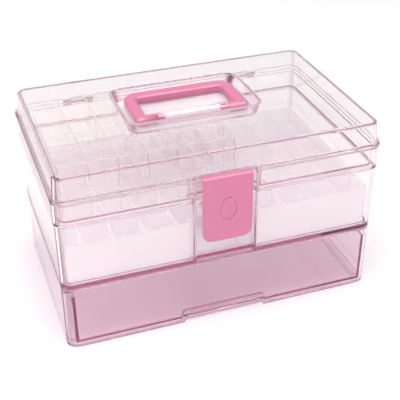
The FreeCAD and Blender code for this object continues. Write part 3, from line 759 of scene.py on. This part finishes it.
def divider_grid(name, material, corner, **sizes):
    """Crossed divider walls with their front left foot at corner. All sizes are in millimetres."""
    mesh = bpy.data.meshes.new(name)
    grid = bpy.data.objects.new(name, mesh)
    scene.collection.objects.link(grid)
    modifier = grid.modifiers.new("dividers", "NODES")
    modifier.node_group = DIVIDERS
    for item in DIVIDERS.interface.items_tree:
        if item.in_out != "INPUT":
            continue
        if item.name == "Plastic":
            modifier[item.identifier] = material
            continue
        value = sizes[item.name.lower().replace(" ", "_")]
        modifier[item.identifier] = value if isinstance(value, int) else value * MM
    flatten(grid)
    grid.data.transform(Matrix.Translation(Vector(corner) * MM))
    return grid


# ---- trays ------------------------------------------------------------------------------------------
def tray_shell(name, corners, low, high, material, foot_round=3.0):
    """An open tray: outside up, over the rim and down inside."""
    rim_round = TRAY_WALL * 0.45
    sections = [
        (corners, foot_round + 3.0, low, 0.0),
        (corners, 0.0, low, foot_round),
        (corners, 0.0, high, rim_round),
        (corners, TRAY_WALL, high, rim_round),
        (corners, TRAY_WALL, low + TRAY_FLOOR, foot_round - TRAY_WALL * 0.4),
        (corners, TRAY_WALL + foot_round + 3.0, low + TRAY_FLOOR, 0.0)]
    return loft(name, wall_rings(sections), material)


def make_upper_tray():
    """The clear tray with its grid of arched spool cells."""
    corners = notched(tray_high[0], tray_high[1], UPPER_TRAY_CORNER, tray_notch_x, tray_notch_y, 1.0)
    tray = tray_shell("upper_tray_shell", corners, tray_low[2], tray_high[2], clear_tray)
    cell_x = (grid_high[0] - grid_low[0] - DIVIDER) / GRID_COLUMNS
    cell_y = (grid_high[1] - grid_low[1] - DIVIDER) / GRID_ROWS
    grid = divider_grid("spool_dividers", clear_divider,
                        (grid_low[0] + DIVIDER / 2.0, grid_low[1] + DIVIDER, grid_low[2] - GRID_SUNK),
                        columns=GRID_COLUMNS, rows=GRID_ROWS, outer_rows=1, cell_width=cell_x,
                        cell_depth=cell_y, first_column=0.0, thickness=DIVIDER,
                        height=grid_high[2] - grid_low[2] + GRID_SUNK - ARCH, arch=ARCH)
    smooth(grid, 25.0)
    foot_of_arch = (grid_high[2] - ARCH + 0.02) * MM
    # Painted highlight and painted shade: the divider tops are made matt white in place of highlights,
    # with a little dark edge tint, more on the arches.
    for name, arched, straight in (("edge", 0.2, 0.12), ("frost_and_highlight", 0.5, 0.3)):
        mark(grid, name, arched, lambda face: face.normal.z > 0.8 and face.center.z > foot_of_arch)
        mark(grid, name, straight, lambda face: face.normal.z > 0.8 and face.center.z < foot_of_arch)
    smooth(tray, 50.0)
    stands_for(tray, "upper_tray")
    stands_for(grid, "upper_tray_dividers")


def make_lower_tray(side, columns):
    """One of the two milky trays, whose inner front corner is notched to clear the latch's recess."""
    node = "lower_tray_" + side
    low, high = size_of(node)
    walls_low, walls_high = size_of(node + "_dividers")
    radius = LOWER_TRAY_CORNER
    if side == "left":
        front = [(low[0], low[1], radius), (-tray_notch_x, low[1], 1.0),
                 (-tray_notch_x, tray_notch_y, 1.0), (high[0], tray_notch_y, 1.5)]
    else:
        front = [(low[0], tray_notch_y, 1.5), (tray_notch_x, tray_notch_y, 1.0),
                 (tray_notch_x, low[1], 1.0), (high[0], low[1], radius)]
    corners = front + [(high[0], high[1], radius), (low[0], high[1], radius)]
    tray = tray_shell(node + "_shell", corners, low[2], high[2], milky_tray, 2.4)
    inner = (low[0] + TRAY_WALL, high[0] - TRAY_WALL)
    cell_x = (inner[1] - inner[0] - NARROW_COLUMN) / columns
    inner_y = (low[1] + TRAY_WALL, high[1] - TRAY_WALL)
    cell_y = (inner_y[1] - inner_y[0]) / LOWER_ROWS
    grid = divider_grid(node + "_walls", milky_tray,
                        (inner[0], inner_y[0] + DIVIDER / 2.0, walls_low[2] - GRID_SUNK),
                        columns=columns, rows=LOWER_ROWS, outer_rows=0, cell_width=cell_x,
                        cell_depth=cell_y, first_column=NARROW_COLUMN, thickness=DIVIDER,
                        height=walls_high[2] - walls_low[2] + GRID_SUNK, arch=0.0)
    notch = block(-tray_notch_x - TRAY_WALL, tray_notch_x + TRAY_WALL,
                  low[1] - CUT_PAST, tray_notch_y + TRAY_WALL * 0.5,
                  walls_low[2] - CUT_PAST, walls_high[2] + CUT_PAST)
    combine(grid, [notch], "DIFFERENCE")
    smooth(grid, 25.0)
    smooth(tray, 50.0)
    stands_for(tray, node)
    stands_for(grid, node + "_dividers")


make_tub()
make_lid()
make_upper_tray()
make_lower_tray("left", 5)
make_lower_tray("right", 4)
for node_name, edge in (("handle", 0.0), ("latch", 0.0), ("latch_pin", PIN_EDGE),
                        ("hinge_pin_left", PIN_EDGE), ("hinge_pin_right", PIN_EDGE),
                        ("drawer_base", MOULDED_EDGE), ("drawer", MOULDED_EDGE)):
    piece = from_cad(node_name, node_name + "_moulding", edge, node_name.startswith("drawer"))
    if node_name == "drawer":
        pull_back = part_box("drawer")[0][1] + PULL_DEEP * MM
        # Painted shade: the finger pull's upward faces get the full dark edge tint, drawn as its
        # outline.
        mark(piece, "edge", 1.0, lambda face: face.normal.z > 0.3 and face.center.y < pull_back
             and abs(face.center.x) < PULL_HALF_X * MM and PULL_LOW < face.center.z / MM < PULL_HIGH)
    stands_for(piece, node_name)


# ---- floor, light and camera ------------------------------------------------------------------------


def make_floor():
    """Matt white paper, with a fibre too fine to show as more than softness."""
    mesh = bpy.data.meshes.new("floor")
    bm = bmesh.new()
    bmesh.ops.create_grid(bm, x_segments=2, y_segments=2, size=3.0)
    bm.to_mesh(mesh)
    bm.free()
    floor = bpy.data.objects.new("floor", mesh)
    scene.collection.objects.link(floor)
    material, tree = new_material("white_sweep_paper")
    where = add(tree, "ShaderNodeTexCoord")
    fibre = add(tree, "ShaderNodeTexNoise", {"Vector": where.outputs["Object"]}, Scale=900.0, Detail=3.0)
    bump = add(tree, "ShaderNodeBump", {"Height": fibre.outputs["Fac"]}, Strength=0.05, Distance=0.0001)
    paper = add(tree, "ShaderNodeBsdfPrincipled", {"Normal": bump.outputs[0]},
                Base_Color=srgb("#FAFAFA"), Roughness=0.9)
    add(tree, "ShaderNodeOutputMaterial", {"Surface": paper.outputs[0]})
    mesh.materials.append(material)


def make_light(name, place, aim, size, power, sheen_only=False):
    """A softbox. One that gives sheen only shows in gloss and leaves the shading alone."""
    data = bpy.data.lights.new(name, "AREA")
    data.shape = "RECTANGLE"
    data.size = size[0]
    data.size_y = size[1]
    data.energy = power
    lamp = bpy.data.objects.new(name, data)
    lamp.location = place
    lamp.rotation_euler = (Vector(aim) - Vector(place)).to_track_quat("-Z", "Y").to_euler()
    lamp.visible_diffuse = not sheen_only
    lamp.visible_transmission = not sheen_only
    scene.collection.objects.link(lamp)


def make_world(low, high):
    """A white room: white where it is looked at, and as a light dimmer at the horizon than overhead."""
    world = bpy.data.worlds.new("studio")
    scene.world = world
    world.use_nodes = True
    tree = world.node_tree
    tree.nodes.clear()
    where = add(tree, "ShaderNodeTexCoord")
    parts = add(tree, "ShaderNodeSeparateXYZ", {0: where.outputs["Generated"]})
    light = add(tree, "ShaderNodeMapRange", {"Value": parts.outputs["Z"]}, From_Min=0.1, From_Max=0.9,
                To_Min=low, To_Max=high)
    room = add(tree, "ShaderNodeBackground", {"Strength": light.outputs[0]}, Color=srgb("#FFFFFF"))
    seen = add(tree, "ShaderNodeBackground", Color=srgb("#FFFFFF"), Strength=1.0)
    path = add(tree, "ShaderNodeLightPath")
    both = add(tree, "ShaderNodeMixShader",
               {0: path.outputs["Is Camera Ray"], 1: room.outputs[0], 2: seen.outputs[0]})
    add(tree, "ShaderNodeOutputWorld", {"Surface": both.outputs[0]})


def make_camera():
    azimuth, elevation, roll = math.radians(-19.46), math.radians(32.32), math.radians(-0.24)
    distance = 0.93029
    target = Vector((0.00908, 0.0, 0.07667))
    back = Vector((math.sin(azimuth) * math.cos(elevation), -math.cos(azimuth) * math.cos(elevation),
                   math.sin(elevation)))
    data = bpy.data.cameras.new("camera")
    data.sensor_width = 36.0
    data.lens = 77.47
    data.clip_start = 0.01
    camera = bpy.data.objects.new("camera", data)
    turn = (-back).to_track_quat("-Z", "Y").to_matrix().to_4x4() @ Matrix.Rotation(roll, 4, "Z")
    camera.matrix_world = Matrix.Translation(target + back * distance) @ turn
    scene.collection.objects.link(camera)
    scene.camera = camera


make_floor()
make_world(0.55, 1.0)
make_light("overhead", (0.0, -0.35, 1.4), (0.0, 0.0, 0.15), (1.6, 0.3), 5.5)
make_light("side", (-1.5, -0.1, 0.9), (0.0, 0.0, 0.1), (0.5, 1.2), 7.0)
make_light("front", (0.3, -1.6, 0.8), (0.0, 0.0, 0.1), (0.7, 0.5), 3.0)
make_light("sheen", (0.0, -0.45, 1.2), (0.0, 0.0, 0.19), (1.4, 0.5), 20.0, sheen_only=True)
make_camera()

scene.view_settings.view_transform = "Standard"
scene.view_settings.look = "None"
cycles = scene.cycles
cycles.max_bounces = 96
cycles.transmission_bounces = 96
cycles.transparent_max_bounces = 48
cycles.glossy_bounces = 96
cycles.diffuse_bounces = 4
cycles.volume_bounces = 0
